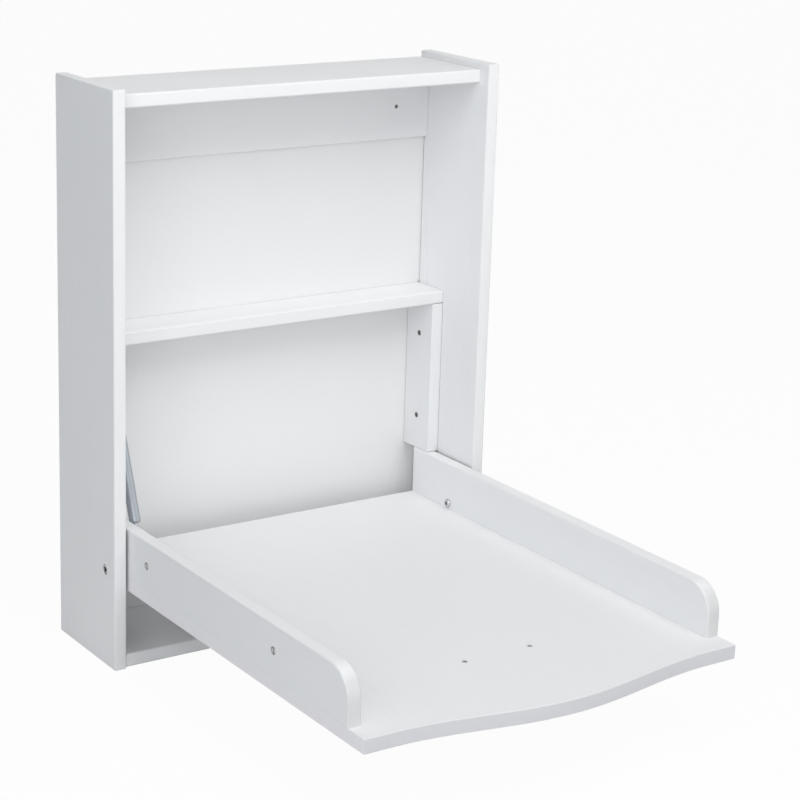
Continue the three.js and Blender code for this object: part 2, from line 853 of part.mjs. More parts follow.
// Assembly: cabinet
for (const { name, sign } of sides) {
  piece(`${name}_side_panel`, sidePanel(sign), lacquer);
  piece(`${name}_batten`, batten(sign), lacquer);
  battenScrewHeights().forEach((z, i) => {
    piece(`${name}_batten_screw_${['lower', 'upper'][i]}`, battenScrew(sign, z), zinc);
  });
  piece(`${name}_shelf_dowel`, shelfDowel(sign, 0), beech);
  hangingRailDowels(sign, 0).forEach((dowel, i) => {
    piece(`${name}_hanging_rail_dowel_${['lower', 'upper'][i]}`, dowel, beech);
  });
  for (const panel of jointedPanels) {
    const { z } = panelMiddle(panel);
    const place = `${panel.name}_${name}`;
    const slottedDisc = cut(camDisc(panel, sign, 0), [camBolt(panel, sign, fitGap)]);
    piece(`${place}_cam_bolt`, camBolt(panel, sign, 0), zinc);
    piece(`${place}_cam_disc`, slottedDisc, zinc);
    piece(`${place}_dowel`, dowelBetween(sideInnerX, sign, panelDowelY(panel), z, 0), beech);
  }
  piece(`${name}_pivot_sleeve`, pivotSleeve(sign), zinc);
  piece(`${name}_pivot_screw`, pivotScrew(sign), zinc);
}
for (const panel of jointedPanels) piece(`${panel.name}_panel`, jointedPanel(panel), lacquer);
piece('back_panel', backPanelBlock(0), thinBoard);
piece('hanging_rail', hangingRail(), lacquer);
piece('middle_shelf', middleShelf(), lacquer);
piece('upper_ball_stud', ballStud(upperStudFace()), darkSteel);

// Assembly: tray
piece('tray_board', trayBoard(), lacquer);
for (const { name, sign } of sides) {
  piece(`${name}_rail`, rail(sign), lacquer);
  piece(`${name}_pivot_bush`, pivotBush(sign), nylon);
  railBoltYs().forEach((y, i) => {
    const place = ['rear', 'front'][i];
    piece(`${name}_rail_bolt_${place}`, railBoltWithKey(sign, y), zinc);
    piece(`${name}_barrel_nut_${place}`, barrelNut(sign, y), zinc);
  });
  piece(`${name}_handle_screw`, handleScrew(sign), zinc);
}
piece('handle', handle(), satinNickel);
piece('lower_ball_stud', ballStud(lowerStudFace()), darkSteel);

// Assembly: gas strut, drawn along its own axis from the upper ball and leaned back against the wall
const strut = new THREE.Group();
strut.position.copy(upperBall);
strut.rotation.x = -strutLean;
root.add(strut);
piece('strut_tube', strutTube(), strutGrey, strut);
piece('strut_rod_guide', strutRodGuide(), darkSteel, strut);
piece('strut_upper_socket', ballSocket(0, -1, nippleDiameter), darkSteel, strut);
piece('strut_rod', strutRod(), chrome, strut);
piece('strut_piston', strutPiston(), darkSteel, strut);
piece('strut_lower_socket', ballSocket(-strutLength, 1, rodDiameter), darkSteel, strut);

export default root;
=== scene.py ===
"""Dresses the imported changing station: smooth fittings, materials, studio light and camera."""
import json
import math

import bmesh
import bpy
from mathutils import Matrix, Vector


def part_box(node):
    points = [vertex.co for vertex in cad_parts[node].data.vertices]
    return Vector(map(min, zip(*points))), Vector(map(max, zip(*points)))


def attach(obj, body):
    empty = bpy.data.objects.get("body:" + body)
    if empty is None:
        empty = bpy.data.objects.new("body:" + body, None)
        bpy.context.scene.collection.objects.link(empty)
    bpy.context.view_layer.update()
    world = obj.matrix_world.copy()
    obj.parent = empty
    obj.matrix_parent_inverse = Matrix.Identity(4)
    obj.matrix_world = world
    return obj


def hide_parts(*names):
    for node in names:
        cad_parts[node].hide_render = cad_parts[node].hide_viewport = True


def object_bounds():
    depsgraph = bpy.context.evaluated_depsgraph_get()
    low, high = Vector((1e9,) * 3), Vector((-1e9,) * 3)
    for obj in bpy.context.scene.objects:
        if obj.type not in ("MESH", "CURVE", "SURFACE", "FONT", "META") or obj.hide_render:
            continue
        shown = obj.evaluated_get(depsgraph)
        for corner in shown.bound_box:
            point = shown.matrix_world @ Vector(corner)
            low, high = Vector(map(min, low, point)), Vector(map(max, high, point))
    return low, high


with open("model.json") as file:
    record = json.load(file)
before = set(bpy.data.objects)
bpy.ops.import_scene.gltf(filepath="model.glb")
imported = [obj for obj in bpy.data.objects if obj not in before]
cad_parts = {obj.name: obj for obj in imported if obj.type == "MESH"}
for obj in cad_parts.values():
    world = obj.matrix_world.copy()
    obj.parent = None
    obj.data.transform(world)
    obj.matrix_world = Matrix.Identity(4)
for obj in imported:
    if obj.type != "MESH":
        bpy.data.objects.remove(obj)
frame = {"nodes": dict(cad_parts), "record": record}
cad_low, cad_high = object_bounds()
nodes = frame["nodes"]
slot_of = {part["node"]: part["material_slot"] for part in frame["record"]["subparts"]}
behaviour = frame["record"]["behaviour"]
body_of = {node: body for body, group in behaviour["bodies"].items() for node in group}
joint_place = {joint["name"]: Vector(joint["pos_m"]) for joint in behaviour["joints"]}
scene = bpy.context.scene
scene.view_settings.view_transform = "Standard"

# Camera, in metres, degrees and millimetres of lens
CAMERA_PLACE = (-1.4946, -2.5243, 1.1449)
CAMERA_YAW = 32.551
CAMERA_PITCH = -15.445
CAMERA_ROLL = 1.289
CAMERA_LENS = 99.208
CAMERA_SENSOR = 36.0
CAMERA_SHIFT = (0.1, -0.05)
CAMERA_CLIP_END = 200.0


def camera_turn():
    """The camera's rotation from its heading, its tilt and its roll."""
    yaw, pitch, roll = (math.radians(a) for a in (CAMERA_YAW, CAMERA_PITCH, CAMERA_ROLL))
    level_reach = math.cos(pitch)
    ahead = Vector((math.sin(yaw) * level_reach, math.cos(yaw) * level_reach, math.sin(pitch)))
    level = Vector((math.cos(yaw), -math.sin(yaw), 0))
    upward = level.cross(ahead)
    right = level * math.cos(roll) + upward * math.sin(roll)
    up = upward * math.cos(roll) - level * math.sin(roll)
    return Matrix((right, up, -ahead)).transposed().to_4x4()


def make_camera():
    data = bpy.data.cameras.new("camera")
    data.lens = CAMERA_LENS
    data.sensor_width = CAMERA_SENSOR
    data.shift_x, data.shift_y = CAMERA_SHIFT
    data.clip_end = CAMERA_CLIP_END
    camera = bpy.data.objects.new("camera", data)
    camera.matrix_world = Matrix.Translation(CAMERA_PLACE) @ camera_turn()
    scene.collection.objects.link(camera)
    scene.camera = camera


# Node trees
class Tree:
    """A node tree that is built by naming nodes and what feeds their sockets."""

    def __init__(self, owner):
        owner.use_nodes = True
        self.tree = owner.node_tree
        self.tree.nodes.clear()

    def add(self, kind, feeds=None, **settings):
        made = self.tree.nodes.new(kind)
        for key, value in settings.items():
            setattr(made, key, value)
        for key, value in (feeds or {}).items():
            self.feed(made.inputs[key], value)
        return made

    def feed(self, socket, value):
        if isinstance(value, bpy.types.NodeSocket):
            self.tree.links.new(value, socket)
        else:
            socket.default_value = value

    def combine(self, operation, first, second, clamp=False):
        feeds = {0: first, 1: second}
        return self.add("ShaderNodeMath", feeds, operation=operation, use_clamp=clamp).outputs[0]

    def ramp(self, value, span, result=(0.0, 1.0)):
        """The value carried from a span to a result, and held at the ends."""
        feeds = {"Value": value}
        feeds["From Min"], feeds["From Max"] = span
        feeds["To Min"], feeds["To Max"] = result
        return self.add("ShaderNodeMapRange", feeds).outputs["Result"]

    def mix(self, share, first, second):
        made = self.add("ShaderNodeMix", data_type="RGBA")
        colours = [socket for socket in made.inputs if socket.type == "RGBA"]
        self.feed(made.inputs["Factor"], share)
        self.feed(colours[0], first)
        self.feed(colours[1], second)
        return next(socket for socket in made.outputs if socket.type == "RGBA")

    def place(self, stretch=(1, 1, 1)):
        where = self.add("ShaderNodeTexCoord").outputs["Object"]
        return self.add("ShaderNodeMapping", {"Vector": where, "Scale": stretch}).outputs["Vector"]

    def noise(self, vector, scale, detail=2.0, roughness=0.5):
        feeds = {"Vector": vector, "Scale": scale, "Detail": detail, "Roughness": roughness}
        return self.add("ShaderNodeTexNoise", feeds).outputs["Fac"]

    def seen_directly(self):
        """1 for what the camera sees, also in a reflection or through glass."""
        path = self.add("ShaderNodeLightPath").outputs
        both = self.combine("ADD", path["Is Camera Ray"], path["Is Glossy Ray"])
        return self.combine("ADD", both, path["Is Transmission Ray"], clamp=True)


def colour(red, green, blue):
    return (red, green, blue, 1.0)


# Studio, in metres, watts and degrees
WHITE = colour(1, 1, 1)
WORLD_TINT = colour(0.945, 0.975, 1.0)
WORLD_LIGHT = 0.24
FLOOR_DROP = 0.0005
FLOOR_RADIUS = 80.0
FLOOR_SIDES = 96
FLOOR_TINT = colour(0.8, 0.8, 0.8)
FLOOR_WHITE_SHARE = 0.96
LAMP_AIM = Vector((0.0, -0.3, 0.3))
WIDE_SPREAD = 180.0
NEUTRAL = (1.0, 1.0, 1.0)
LAMPS = {
    "overhead": {"place": (0.0, -1.4, 2.2), "size": (1.4, 1.4), "power": 25.0, "tint": (1.0, 0.995, 0.985)},
    "left": {"place": (-2.6, -3.4, 1.15), "size": (2.6, 2.6), "power": 46.5, "tint": (0.965, 0.985, 1.0)},
    "left_side": {"place": (-2.9, -1.3, 2.3), "size": (2.0, 2.0), "power": 18.0, "tint": (0.9, 0.95, 1.0)},
    "right": {"place": (2.6, -2.6, 1.3), "size": (2.6, 2.6), "power": 18.5},
    "rear": {"place": (1.4, 3.0, 0.36), "size": (2.8, 0.6), "power": 5.5, "spread": 60.0},
}


def make_world():
    world = bpy.data.worlds.new("studio")
    scene.world = world
    tree = Tree(world)
    light = tree.add("ShaderNodeBackground", {"Color": WORLD_TINT, "Strength": WORLD_LIGHT})
    white = tree.add("ShaderNodeBackground", {"Color": WHITE, "Strength": 1.0})
    feeds = {0: tree.seen_directly(), 1: light.outputs[0], 2: white.outputs[0]}
    both = tree.add("ShaderNodeMixShader", feeds)
    tree.add("ShaderNodeOutputWorld", {"Surface": both.outputs[0]})


def make_floor():
    bpy.ops.mesh.primitive_circle_add(vertices=FLOOR_SIDES, radius=FLOOR_RADIUS, fill_type="NGON")
    floor = bpy.context.object
    floor.name = "floor"
    floor.location.z = cad_low.z - FLOOR_DROP
    paint = bpy.data.materials.new("floor")
    tree = Tree(paint)
    matt = tree.add("ShaderNodeBsdfDiffuse", {"Color": FLOOR_TINT})
    white = tree.add("ShaderNodeEmission", {"Color": WHITE, "Strength": 1.0})
    share = tree.combine("MULTIPLY", tree.seen_directly(), FLOOR_WHITE_SHARE)
    both = tree.add("ShaderNodeMixShader", {0: share, 1: matt.outputs[0], 2: white.outputs[0]})
    tree.add("ShaderNodeOutputMaterial", {"Surface": both.outputs[0]})
    floor.data.materials.append(paint)


def make_lamp(name, place, size, power, tint=NEUTRAL, spread=WIDE_SPREAD):
    data = bpy.data.lights.new(name, "AREA")
    data.shape = "RECTANGLE"
    data.size, data.size_y = size
    data.energy = power
    data.color = tint
    data.spread = math.radians(spread)
    lamp = bpy.data.objects.new(name, data)
    lamp.location = place
    lamp.visible_camera = False
    lamp.rotation_euler = (LAMP_AIM - Vector(place)).to_track_quat("-Z", "Y").to_euler()
    scene.collection.objects.link(lamp)


# Materials: scales are in waves per metre, reaches and depths in metres
CLOUD_SPAN = (0.35, 0.65)
NOISE_SPAN = (0.3, 0.7)
CLOUD_DETAIL = 3.0
PEEL_DETAIL = 1.0

# Masks
# Painted shade where surfaces meet, found by ambient occlusion: its tint, reach, span, samples and strength
SEAM_SHADE_TINT = colour(0.14, 0.145, 0.145)
# Painted shade in the hollows and recesses of the metal fittings, by the same ambient occlusion
RECESS_SHADE_TINT = colour(0.05, 0.05, 0.05)
SEAM_SHADE_REACH = 0.006
SEAM_SHADE_SPAN = (0.15, 0.57)
SEAM_SHADE_SAMPLES = 8
SEAM_SHADE_STRENGTH = 0.85
# Weaker painted shade where the tray board and its rails meet other surfaces
TRAY_SEAM_SHADE_STRENGTH = 0.04
WEAR_RADIUS = 0.002
WEAR_SAMPLES = 6
WEAR_SPAN = (0.995, 0.8)
# Painted shade on faces that look to the front; a tint on faces that look to the side
FRONT_SHADE_SPAN = (-0.5, -0.8)
SIDE_SPAN = (0.6, 0.9)

# Grain of the boards, drawn out along one axis
ALONG_X, ALONG_Y, ALONG_Z = range(3)
GRAIN_SCALE = 260.0
GRAIN_DETAIL = 3.0
GRAIN_DRAW = 0.06
GRAIN_SPAN = (0.36, 0.64)

# White lacquer
LACQUER = colour(0.868, 0.871, 0.878)
LACQUER_CLOUD = colour(0.858, 0.862, 0.87)
LACQUER_GRAIN = colour(0.853, 0.856, 0.864)
LACQUER_WORN = colour(0.83, 0.83, 0.825)
LACQUER_CLOUD_SCALE = 5.0
LACQUER_PEEL_SCALE = 700.0
LACQUER_WEAR_SCALE = 90.0
LACQUER_ROUGHNESS = (0.42, 0.52)
LACQUER_SPECULAR = 0.32
LACQUER_GRAIN_RELIEF = 0.14
LACQUER_BUMP = {"strength": 0.12, "depth": 0.0002}
# Painted shade on the front-facing faces of the tray board and of the rails, and a lavender tint on the
# tray board's side faces
FRONT_SHADE_TINT = colour(0.7, 0.7, 0.725)
SIDE_BAND = colour(0.875, 0.86, 0.885)
RAIL_FRONT_SHADE_TINT = colour(0.72, 0.725, 0.725)

# Thin board of the back
THIN_BOARD = colour(0.854, 0.854, 0.857)
THIN_BOARD_CLOUD = colour(0.844, 0.844, 0.849)
THIN_BOARD_GRAIN = colour(0.845, 0.846, 0.85)
THIN_BOARD_CLOUD_SCALE = 6.0
THIN_BOARD_GRIT_SCALE = 900.0
THIN_BOARD_ROUGHNESS = (0.46, 0.56)
THIN_BOARD_BUMP = {"strength": 0.08, "depth": 0.0001}

# Metals
METAL_MOTTLE_SCALE = 260.0
METAL_MOTTLE_DETAIL = 3.0
METAL_SCRATCH_SCALE = 1500.0
METAL_DULL_SHARE = 0.86
METAL_BUMP = {"strength": 0.08, "depth": 0.00005}
METALS = {
    "zinc_steel": {"bright": colour(0.72, 0.73, 0.74), "roughness": (0.2, 0.34)},
    "worn_zinc": {"bright": colour(0.58, 0.585, 0.59), "roughness": (0.24, 0.38)},
    "burnished_steel": {"bright": colour(0.27, 0.26, 0.25), "roughness": (0.3, 0.44)},
    "dark_steel": {"bright": colour(0.2, 0.21, 0.22), "roughness": (0.34, 0.5)},
    "chrome": {
        "bright": colour(0.42, 0.43, 0.45),
        "roughness": (0.24, 0.34),
        "stretch": (0.05, 0.05, 1),
    },
    "satin_nickel": {
        "bright": colour(0.68, 0.68, 0.66),
        "roughness": (0.24, 0.34),
        "stretch": (0.04, 1, 1),
    },
}

# Nylon
NYLON = colour(0.84, 0.85, 0.84)
NYLON_SPECK = colour(0.79, 0.8, 0.78)
NYLON_SPECK_SCALE = 700.0
NYLON_ROUGHNESS = 0.48
NYLON_GLOW = 0.1
NYLON_GLOW_REACH = (0.002, 0.002, 0.002)
NYLON_BUMP = {"strength": 0.1, "depth": 0.0001}

# Beech
BEECH = colour(0.72, 0.55, 0.37)
BEECH_DARK = colour(0.56, 0.39, 0.24)
BEECH_STRETCH = (0.12, 1, 1)
BEECH_SCALE = 420.0
BEECH_DETAIL = 4.0
BEECH_COARSENESS = 0.65
BEECH_ROUGHNESS = (0.6, 0.75)
BEECH_BUMP = {"strength": 0.3, "depth": 0.0002}

# Grey paint of the strut
STRUT_GREY = colour(0.36, 0.39, 0.42)
STRUT_GREY_CLOUD = colour(0.33, 0.36, 0.39)
STRUT_CLOUD_SCALE = 40.0
STRUT_PEEL_SCALE = 900.0
STRUT_METALLIC = 0.5
STRUT_ROUGHNESS = (0.27, 0.33)
STRUT_BUMP = {"strength": 0.1, "depth": 0.0001}


def finish_material(name, build):
    made = bpy.data.materials.new(name)
    tree = Tree(made)
    shader = tree.add("ShaderNodeBsdfPrincipled")
    build(tree, shader)
    tree.add("ShaderNodeOutputMaterial", {"Surface": shader.outputs["BSDF"]})
    return made


def bump(tree, shader, height, strength, depth):
    feeds = {"Height": height, "Strength": strength, "Distance": depth}
    tree.feed(shader.inputs["Normal"], tree.add("ShaderNodeBump", feeds).outputs["Normal"])


def edge_mask(tree):
    """1 on an edge or a corner, falling to 0 within the wear's radius."""
    rounded = tree.add("ShaderNodeBevel", {"Radius": WEAR_RADIUS}, samples=WEAR_SAMPLES).outputs["Normal"]
    flat = tree.add("ShaderNodeNewGeometry").outputs["Normal"]
    dot = tree.add("ShaderNodeVectorMath", {0: rounded, 1: flat}, operation="DOT_PRODUCT")
    return tree.ramp(dot.outputs["Value"], WEAR_SPAN)


def painted_seam_shade(tree, strength=SEAM_SHADE_STRENGTH):
    """Painted shade: the strength where two surfaces meet, falling to 0 within the reach of the ambient
    occlusion.
    """
    feeds = {"Distance": SEAM_SHADE_REACH}
    clear = tree.add("ShaderNodeAmbientOcclusion", feeds, samples=SEAM_SHADE_SAMPLES).outputs["AO"]
    return tree.ramp(clear, SEAM_SHADE_SPAN, (strength, 0.0))


def front_shade_and_side_tint(tree, base, front_shade, side_tint):
    """The base with painted shade on a board's front-facing faces and a tint on its side faces, whichever
    way the board is turned.
    """
    normal = tree.add("ShaderNodeTexCoord").outputs["Normal"]
    split = tree.add("ShaderNodeSeparateXYZ", {"Vector": normal}).outputs
    if side_tint:
        sideways = tree.combine("MULTIPLY", split["X"], split["X"])
        base = tree.mix(tree.ramp(sideways, SIDE_SPAN), base, side_tint)
    return tree.mix(tree.ramp(split["Y"], FRONT_SHADE_SPAN), base, front_shade)


def grain(tree, axis):
    """Faint streaks along the axis, from 0 to 1."""
    stretch = [1, 1, 1]
    stretch[axis] = GRAIN_DRAW
    return tree.ramp(tree.noise(tree.place(stretch), GRAIN_SCALE, GRAIN_DETAIL), GRAIN_SPAN)


def white_lacquer(axis, seam_shade=SEAM_SHADE_STRENGTH, front_shade=None, side_tint=None):
    """Sprayed lacquer on a board whose grain runs along the axis, with painted shade on front-facing faces
    and a tint on side faces where given.
    """
    def build(tree, shader):
        where = tree.place()
        cloud = tree.noise(where, LACQUER_CLOUD_SCALE, CLOUD_DETAIL)
        peel = tree.noise(where, LACQUER_PEEL_SCALE, PEEL_DETAIL)
        streaks = grain(tree, axis)
        worn = tree.combine("MULTIPLY", edge_mask(tree), tree.noise(where, LACQUER_WEAR_SCALE))
        base = tree.mix(tree.ramp(cloud, CLOUD_SPAN), LACQUER, LACQUER_CLOUD)
        base = tree.mix(streaks, base, LACQUER_GRAIN)
        base = tree.mix(worn, base, LACQUER_WORN)
        # Painted shade on front-facing faces, with the side tint
        if front_shade:
            base = front_shade_and_side_tint(tree, base, front_shade, side_tint)
        # Painted shade darkens the colour where surfaces meet
        tree.feed(shader.inputs["Base Color"], tree.mix(painted_seam_shade(tree, seam_shade), base, SEAM_SHADE_TINT))
        tree.feed(shader.inputs["Roughness"], tree.ramp(cloud, NOISE_SPAN, LACQUER_ROUGHNESS))
        shader.inputs["Specular IOR Level"].default_value = LACQUER_SPECULAR
        relief = tree.combine("MULTIPLY", streaks, LACQUER_GRAIN_RELIEF)
        bump(tree, shader, tree.combine("ADD", peel, relief), **LACQUER_BUMP)
    return build


def thin_board(tree, shader):
    where = tree.place()
    cloud = tree.noise(where, THIN_BOARD_CLOUD_SCALE, CLOUD_DETAIL)
    grit = tree.noise(where, THIN_BOARD_GRIT_SCALE)
    base = tree.mix(tree.ramp(cloud, CLOUD_SPAN), THIN_BOARD, THIN_BOARD_CLOUD)
    base = tree.mix(grain(tree, ALONG_Z), base, THIN_BOARD_GRAIN)
    # Painted shade darkens the colour where surfaces meet
    tree.feed(shader.inputs["Base Color"], tree.mix(painted_seam_shade(tree), base, SEAM_SHADE_TINT))
    tree.feed(shader.inputs["Roughness"], tree.ramp(cloud, NOISE_SPAN, THIN_BOARD_ROUGHNESS))
    bump(tree, shader, grit, **THIN_BOARD_BUMP)


def metal(bright, roughness, stretch=(1, 1, 1)):
    """A metal of that colour, mottled, with fine scratches drawn out where the stretch is below 1, and
    painted shade in its recesses.
    """
    def build(tree, shader):
        mottle = tree.noise(tree.place(), METAL_MOTTLE_SCALE, METAL_MOTTLE_DETAIL)
        scratch = tree.noise(tree.place(stretch), METAL_SCRATCH_SCALE)
        dull = colour(*(part * METAL_DULL_SHARE for part in bright[:3]))
        base = tree.mix(mottle, bright, dull)
        # Painted shade darkens the metal in its recesses
        tree.feed(shader.inputs["Base Color"], tree.mix(painted_seam_shade(tree), base, RECESS_SHADE_TINT))
        shader.inputs["Metallic"].default_value = 1.0
        tree.feed(shader.inputs["Roughness"], tree.ramp(scratch, NOISE_SPAN, roughness))
        bump(tree, shader, scratch, **METAL_BUMP)
    return build


def nylon(tree, shader):
    speck = tree.noise(tree.place(), NYLON_SPECK_SCALE)
    tree.feed(shader.inputs["Base Color"], tree.mix(speck, NYLON, NYLON_SPECK))
    shader.inputs["Roughness"].default_value = NYLON_ROUGHNESS
    shader.inputs["Subsurface Weight"].default_value = NYLON_GLOW
    shader.inputs["Subsurface Radius"].default_value = NYLON_GLOW_REACH
    bump(tree, shader, speck, **NYLON_BUMP)


def beech(tree, shader):
    fibre = tree.noise(tree.place(BEECH_STRETCH), BEECH_SCALE, BEECH_DETAIL, BEECH_COARSENESS)
    tree.feed(shader.inputs["Base Color"], tree.mix(fibre, BEECH, BEECH_DARK))
    tree.feed(shader.inputs["Roughness"], tree.ramp(fibre, NOISE_SPAN, BEECH_ROUGHNESS))
    bump(tree, shader, fibre, **BEECH_BUMP)


def strut_grey(tree, shader):
    where = tree.place()
    peel = tree.noise(where, STRUT_PEEL_SCALE, PEEL_DETAIL)
    cloud = tree.noise(where, STRUT_CLOUD_SCALE)
    tree.feed(shader.inputs["Base Color"], tree.mix(cloud, STRUT_GREY, STRUT_GREY_CLOUD))
    shader.inputs["Metallic"].default_value = STRUT_METALLIC
    tree.feed(shader.inputs["Roughness"], tree.ramp(cloud, NOISE_SPAN, STRUT_ROUGHNESS))
    bump(tree, shader, peel, **STRUT_BUMP)


BUILDERS = {
    "lacquer_across": white_lacquer(ALONG_X),
    "lacquer_upright": white_lacquer(ALONG_Z),
    # The tray board and the rails: weaker painted shade where surfaces meet, and painted shade on
    # front-facing faces
    "tray_lacquer": white_lacquer(ALONG_Y, TRAY_SEAM_SHADE_STRENGTH, FRONT_SHADE_TINT, SIDE_BAND),
    "rail_lacquer": white_lacquer(ALONG_Y, TRAY_SEAM_SHADE_STRENGTH, RAIL_FRONT_SHADE_TINT),
    "thin_board": thin_board,
    "nylon": nylon,
    "beech": beech,
    "strut_grey": strut_grey,
}
BUILDERS.update((name, metal(**look)) for name, look in METALS.items())
materials = {name: finish_material(name, build) for name, build in BUILDERS.items()}

# Finishes that differ from the slot's own
OWN_FINISH = {"tray_board": "tray_lacquer"}
for board in ("top_panel", "bottom_panel", "hanging_rail", "middle_shelf"):
    OWN_FINISH[board] = "lacquer_across"
for side in ("left", "right"):
    OWN_FINISH[f"{side}_side_panel"] = "lacquer_upright"
    OWN_FINISH[f"{side}_batten"] = "lacquer_upright"
    OWN_FINISH[f"{side}_rail"] = "rail_lacquer"
    OWN_FINISH[f"{side}_pivot_sleeve"] = "worn_zinc"
    for end in ("front", "rear"):
        OWN_FINISH[f"{side}_barrel_nut_{end}"] = "worn_zinc"
    for level in ("lower", "upper"):
        OWN_FINISH[f"{side}_batten_screw_{level}"] = "burnished_steel"

# Smooth edges, in metres and degrees; the rails are round enough as they are
SMOOTH_ANGLE = 50.0
BOARD_SLOTS = ("white_lacquer", "thin_board")
ROUNDED_BOARDS = ("left_rail", "right_rail")
BOARD_EASE = 0.0005
BOARD_EASE_STEPS = 2
WELD_DISTANCE = 0.00001


def smooth_group():
    """A modifier's node group that shades smooth over every edge below the angle."""
    group = bpy.data.node_groups.new("smooth_edges", "GeometryNodeTree")
    for direction in ("INPUT", "OUTPUT"):
        group.interface.new_socket("Geometry", in_out=direction, socket_type="NodeSocketGeometry")
    enter = group.nodes.new("NodeGroupInput")
    leave = group.nodes.new("NodeGroupOutput")
    faces = group.nodes.new("GeometryNodeSetShadeSmooth")
    faces.domain = "FACE"
    edges = group.nodes.new("GeometryNodeSetShadeSmooth")
    edges.domain = "EDGE"
    angle = group.nodes.new("GeometryNodeInputMeshEdgeAngle")
    below = group.nodes.new("ShaderNodeMath")
    below.operation = "LESS_THAN"
    below.inputs[1].default_value = math.radians(SMOOTH_ANGLE)
    group.links.new(enter.outputs[0], faces.inputs["Geometry"])
    group.links.new(faces.outputs[0], edges.inputs["Geometry"])
    group.links.new(angle.outputs["Unsigned Angle"], below.inputs[0])
    group.links.new(below.outputs[0], edges.inputs["Shade Smooth"])
    group.links.new(edges.outputs[0], leave.inputs[0])
    return group


def shade(solid, node):
    """The node's finish, with smooth shading over gentle edges and flat faces kept flat."""
    slot = slot_of[node]
    solid.data.materials.clear()
    solid.data.materials.append(materials[OWN_FINISH.get(node, slot)])
    weld = solid.modifiers.new("weld", "WELD")
    weld.merge_threshold = WELD_DISTANCE
    if slot in BOARD_SLOTS and node not in ROUNDED_BOARDS:
        soften = solid.modifiers.new("soften", "BEVEL")
        soften.width = BOARD_EASE
        soften.segments = BOARD_EASE_STEPS
        soften.limit_method = "ANGLE"
        soften.angle_limit = math.radians(SMOOTH_ANGLE)
    solid.modifiers.new("smooth", "NODES").node_group = smooth_edges
    even = solid.modifiers.new("even", "WEIGHTED_NORMAL")
    even.keep_sharp = True


# Fittings for the round solids, in millimetres about an axis that points out of their seat
MM = 0.001
ROUND_SIDES = 48
EASE = 0.3
EASE_LEAST_TURN = math.radians(20)
EASE_MOST_SHARE = 0.4
OVERCUT = 1.0
FIT_GAP = 0.3
HEX_SIDES = 6
HEX_DEPTH = 2.2
CROSS_DEPTH = 2.2
CROSS_WIDTH = 1.5
CROSS_SPAN = 5.0
ACROSS = Vector((1, 0, 0))
REARWARD = Vector((0, 1, 0))
UP = Vector((0, 0, 1))
OUTWARD = {"left": -ACROSS, "right": ACROSS}


def eased(profile, ring, ease):
    """The profile with each corner off the axis turned into a short curve."""
    points = [Vector(point) for point in profile]
    last = len(points) - 1
    result = []
    for index, corner in enumerate(points):
        back = points[index - 1] - corner
        ahead = points[(index + 1) % len(points)] - corner
        at_end = not ring and index in (0, last)
        if at_end or back.angle(-ahead) < EASE_LEAST_TURN:
            result.append(corner)
            continue
        reach = min(ease, back.length * EASE_MOST_SHARE, ahead.length * EASE_MOST_SHARE)
        start = corner + back.normalized() * reach
        end = corner + ahead.normalized() * reach
        result += [start, (start + corner * 2 + end) / 4, end]
    return result


def circle(work, radius, centre, first, second):
    """A ring of points about a centre, or the centre alone where the radius is nothing."""
    if radius == 0:
        return [work.verts.new(centre * MM)]
    turns = [2 * math.pi * i / ROUND_SIDES for i in range(ROUND_SIDES)]
    spokes = [first * math.cos(turn) + second * math.sin(turn) for turn in turns]
    return [work.verts.new((centre + spoke * radius) * MM) for spoke in spokes]


def skin(work, first, second):
    """Faces between two rings, which close to a point where a ring is one."""
    for i in range(ROUND_SIDES):
        j = (i + 1) % ROUND_SIDES
        there = [first[k % len(first)] for k in (i, j)]
        back = [second[k % len(second)] for k in (j, i)]
        work.faces.new(list(dict.fromkeys(there + back)))


def solid_object(name, work):
    bmesh.ops.recalc_face_normals(work, faces=work.faces)
    mesh = bpy.data.meshes.new(name)
    work.to_mesh(mesh)
    work.free()
    made = bpy.data.objects.new(name, mesh)
    scene.collection.objects.link(made)
    return made


def lathe(profile, ring=False, ease=EASE):
    """A turned solid from a profile of (radius, height). A ring's profile closes on itself."""
    work = bmesh.new()
    rings = [circle(work, point.x, UP * point.y, ACROSS, REARWARD) for point in eased(profile, ring, ease)]
    for first, second in zip(rings, rings[1:]):
        skin(work, first, second)
    if ring:
        skin(work, rings[-1], rings[0])
    return solid_object("turned", work)


def round_bar(radius, low, high, ease=EASE):
    return lathe([(0, low), (radius, low), (radius, high), (0, high)], ease=ease)


def prism(outline, low, high):
    """A straight solid from an outline of (x, y) between two heights."""
    work = bmesh.new()
    floor = [work.verts.new((x * MM, y * MM, low * MM)) for x, y in outline]
    roof = [work.verts.new((x * MM, y * MM, high * MM)) for x, y in outline]
    work.faces.new(floor)
    work.faces.new(roof)
    for i in range(len(outline)):
        work.faces.new((floor[i - 1], floor[i], roof[i], roof[i - 1]))
    return solid_object("prism", work)


def carve(body, tool, operation="DIFFERENCE"):
    """The body with the tool taken from it or joined to it. The tool is used up."""
    cut = body.modifiers.new("cut", "BOOLEAN")
    cut.operation = operation
    cut.solver = "EXACT"
    cut.object = tool
    ready = body.evaluated_get(bpy.context.evaluated_depsgraph_get())
    body.data = bpy.data.meshes.new_from_object(ready)
    body.modifiers.clear()
    bpy.data.objects.remove(tool)
    return body


def hex_socket(body, face, key, depth=HEX_DEPTH):
    """The body with a six-sided socket of that key size in its face."""
    radius = key / math.sqrt(3)
    turns = [2 * math.pi * i / HEX_SIDES for i in range(HEX_SIDES)]
    outline = [(radius * math.cos(turn), radius * math.sin(turn)) for turn in turns]
    return carve(body, prism(outline, face - depth, face + OVERCUT))


def slot_outline(span, width):
    half, thick = span / 2, width / 2
    return [(-half, -thick), (half, -thick), (half, thick), (-half, thick)]


